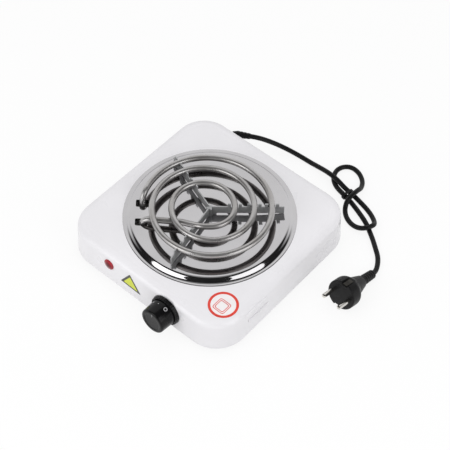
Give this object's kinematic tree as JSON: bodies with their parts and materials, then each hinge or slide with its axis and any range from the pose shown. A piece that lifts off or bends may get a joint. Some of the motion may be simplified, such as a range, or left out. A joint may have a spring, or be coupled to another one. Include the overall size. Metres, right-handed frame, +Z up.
{
  "type": "hot plate burner",
  "caption": "Single electric hot plate: white enamelled square cover, chromed reflector, spiral tube coil on a three-armed support, front heat knob and lamp, black cord and plug.",
  "frame": {"origin": "on the floor under the middle of the square cover", "axes": "+Z up, -Y to the front wall with the knob, +X to the right seen from the front"},
  "size_m": [0.2821, 0.314, 0.0646],
  "materials": {
    "cover_enamel": "glossy white stove enamel on pressed steel",
    "base_steel": "satin grey coated steel sheet",
    "zinc_steel": "zinc plated steel",
    "reflector_chrome": "polished chrome plate",
    "coil_steel": "drawn steel tube, grey with a faint olive tint",
    "support_steel": "plain rolled steel strip",
    "ceramic": "unglazed white ceramic",
    "brass": "bright brass",
    "foot_rubber": "matt black rubber",
    "knob_plastic": "black moulded plastic, semi gloss",
    "lens_red": "translucent red plastic",
    "lamp_plastic": "off-white heat-resistant plastic",
    "block_plastic": "off-white moulded plastic",
    "wire_sleeve": "woven glass sleeve over wire",
    "wire_brown": "brown sleeve",
    "wire_blue": "blue sleeve",
    "wire_green": "green and yellow sleeve",
    "cord_black": "black flexible cord sheath",
    "plug_black": "black moulded plug plastic",
    "pin_nickel": "nickel plated brass"
  },
  "bodies": {
    "housing": {"base_plate": "base_steel", "bimetal_strip": "brass", "bracket_rivet": "zinc_steel", "bushing_nut": "zinc_steel", "clamp_bar": "zinc_steel", "coil_bush_1": "ceramic", "coil_bush_2": "ceramic", "coil_connectors": "brass", "coil_pins": "zinc_steel", "contact_spring": "brass", "cord_gland": "cord_black", "cord_hank": "cord_black", "cord_inner": "cord_black", "cord_lead": "cord_black", "cord_tail": "cord_black", "cord_tie": "cord_black", "corner_posts": "zinc_steel", "earth_screw": "zinc_steel", "earth_tag": "brass", "fixed_contact": "brass", "foot_back_left": "foot_rubber", "foot_back_right": "foot_rubber", "foot_front_left": "foot_rubber", "foot_front_right": "foot_rubber", "foot_screws": "zinc_steel", "heating_coil": "coil_steel", "indicator_body": "lamp_plastic", "indicator_clip": "zinc_steel", "indicator_lens": "lens_red", "knob_bezel": "knob_plastic", "leg_bracket": "zinc_steel", "plug_body": "plug_black", "plug_boot": "plug_black", "plug_earth_clips": "pin_nickel", "plug_pin_left": "pin_nickel", "plug_pin_right": "pin_nickel", "post_nut": "zinc_steel", "post_spacer": "zinc_steel", "reflector_plate": "reflector_chrome", "spindle_bushing": "brass", "stack_rivet": "zinc_steel", "support_arm_1": "support_steel", "support_arm_2": "support_steel", "support_arm_3": "support_steel", "support_post": "support_steel", "tab_receptacles": "brass", "terminal_block": "block_plastic", "terminal_screws": "zinc_steel", "thermostat_frame": "zinc_steel", "thermostat_insulators": "ceramic", "top_cover": "cover_enamel", "wire_earth": "wire_green", "wire_lamp_a": "wire_sleeve", "wire_lamp_b": "wire_sleeve", "wire_live": "wire_brown", "wire_neutral": "wire_blue", "wire_switched": "wire_sleeve"},
    "knob": {"control_knob": "knob_plastic", "control_spindle": "zinc_steel"}
  },
  "joints": [
    {"name": "knob_turn", "type": "hinge", "parent": "housing", "child": "knob", "pos_m": [0.0374, -0.10814, 0.02695], "axis": [0, -0.9977, 0.068], "range_deg": [-270, 0]}
  ]
}
